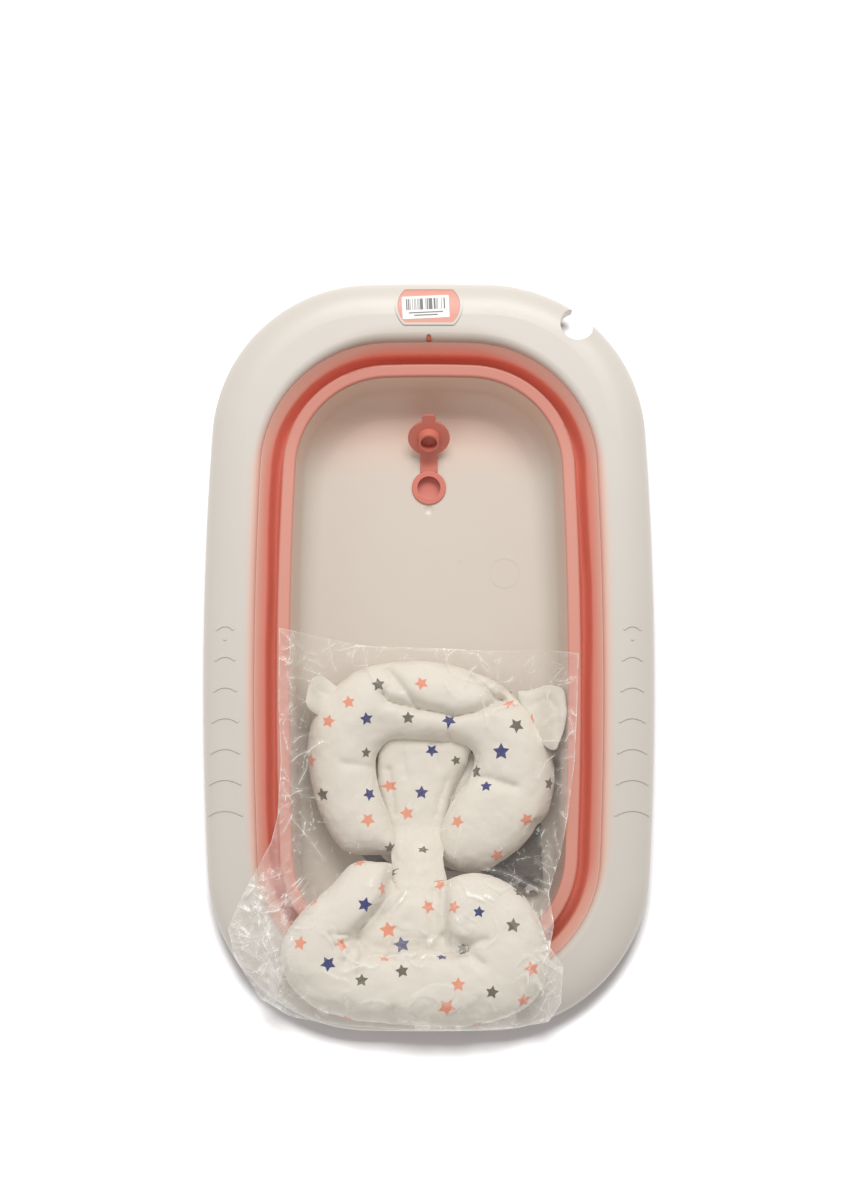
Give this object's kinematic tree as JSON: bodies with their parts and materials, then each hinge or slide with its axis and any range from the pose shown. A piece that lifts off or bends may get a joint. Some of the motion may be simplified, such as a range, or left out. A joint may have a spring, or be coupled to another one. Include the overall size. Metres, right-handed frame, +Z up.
{
  "type": "folding baby bathtub",
  "caption": "Folding baby bath with a soft folding wall, wide rim, swing-down legs, strap plug, hand-shower notch and an infant cushion in a clear bag.",
  "frame": {"origin": "on the floor, under the middle of the rim's plan", "axes": "+X across the bath, +Y along it towards the badge end, +Z up"},
  "size_m": [0.4928, 0.82, 0.1602],
  "materials": {
    "tray_plastic": "satin cream-white moulded polypropylene",
    "rim_plastic": "satin warm-white moulded polypropylene",
    "coral_tpe": "soft matte coral elastomer",
    "red_tpe": "soft deep coral-red elastomer",
    "badge_tpe": "soft pale coral elastomer",
    "label_paper": "white paper sticker with plain grey bars",
    "coral_silicone": "satin coral silicone",
    "grey_rubber": "matte grey rubber",
    "leg_plastic": "warm-white moulded plastic",
    "coral_rubber": "matte coral rubber",
    "pin_steel": "plain steel",
    "screw_steel": "plain steel",
    "print_fabric": "off-white knitted fabric with small printed stars",
    "mesh_fabric": "grey open mesh fabric",
    "clear_film": "thin crinkled clear film"
  },
  "bodies": {
    "tray": {"tray": "tray_plastic", "tray_ring": "coral_tpe", "fold_wall_lower": "red_tpe", "drain_ring": "coral_silicone", "drain_strap": "coral_silicone", "cushion_head_ring": "print_fabric", "cushion_head_tongue": "print_fabric", "cushion_ear_left": "print_fabric", "cushion_ear_right": "print_fabric", "cushion_backing": "mesh_fabric", "bag_over_head": "clear_film", "tray_pad_rear_left": "grey_rubber", "tray_pad_rear_right": "grey_rubber", "tray_pad_front_left": "grey_rubber", "tray_pad_front_right": "grey_rubber"},
    "rim": {"rim": "rim_plastic", "fold_wall_upper": "coral_tpe", "lip_key": "red_tpe", "badge_bezel": "rim_plastic", "badge_pad": "badge_tpe", "badge_label": "label_paper", "bracket_screws": "screw_steel", "cushion_seat_ring": "print_fabric", "cushion_seat_pad": "print_fabric", "bag_over_seat": "clear_film", "leg_bracket_rear_left": "leg_plastic", "leg_bracket_rear_right": "leg_plastic", "leg_bracket_front_left": "leg_plastic", "leg_bracket_front_right": "leg_plastic", "leg_pin_rear_left": "pin_steel", "leg_pin_rear_right": "pin_steel", "leg_pin_front_left": "pin_steel", "leg_pin_front_right": "pin_steel"},
    "drain_lid": {"drain_lid": "coral_silicone"},
    "leg_rear_left": {"leg_rear_left": "leg_plastic", "leg_shoe_rear_left": "coral_rubber"},
    "leg_rear_right": {"leg_rear_right": "leg_plastic", "leg_shoe_rear_right": "coral_rubber"},
    "leg_front_left": {"leg_front_left": "leg_plastic", "leg_shoe_front_left": "coral_rubber"},
    "leg_front_right": {"leg_front_right": "leg_plastic", "leg_shoe_front_right": "coral_rubber"}
  },
  "joints": [
    {"name": "rim_unfold", "type": "slide", "parent": "tray", "child": "rim", "axis": [0, 0, 1], "range_m": [0, 0.108], "deforming": ["fold_wall_lower"]},
    {"name": "drain_lid_hinge", "type": "hinge", "parent": "tray", "child": "drain_lid", "pos_m": [0, 0.2212, 0.01355], "axis": [1, 0, 0], "range_deg": [0, 136]},
    {"name": "leg_rear_left_swing", "type": "hinge", "parent": "rim", "child": "leg_rear_left", "pos_m": [-0.218, 0.19, 0.058], "axis": [1, 0, 0], "range_deg": [0, 90]},
    {"name": "leg_rear_right_swing", "type": "hinge", "parent": "rim", "child": "leg_rear_right", "pos_m": [0.218, 0.19, 0.058], "axis": [1, 0, 0], "range_deg": [0, 90]},
    {"name": "leg_front_left_swing", "type": "hinge", "parent": "rim", "child": "leg_front_left", "pos_m": [-0.218, -0.19, 0.058], "axis": [-1, 0, 0], "range_deg": [0, 90]},
    {"name": "leg_front_right_swing", "type": "hinge", "parent": "rim", "child": "leg_front_right", "pos_m": [0.218, -0.19, 0.058], "axis": [-1, 0, 0], "range_deg": [0, 90]}
  ],
  "couplings": [
    {"joint": "leg_rear_left_swing", "follows": "rim_unfold", "rad_per_m": 14.54},
    {"joint": "leg_rear_right_swing", "follows": "rim_unfold", "rad_per_m": 14.54},
    {"joint": "leg_front_left_swing", "follows": "rim_unfold", "rad_per_m": 14.54},
    {"joint": "leg_front_right_swing", "follows": "rim_unfold", "rad_per_m": 14.54}
  ]
}
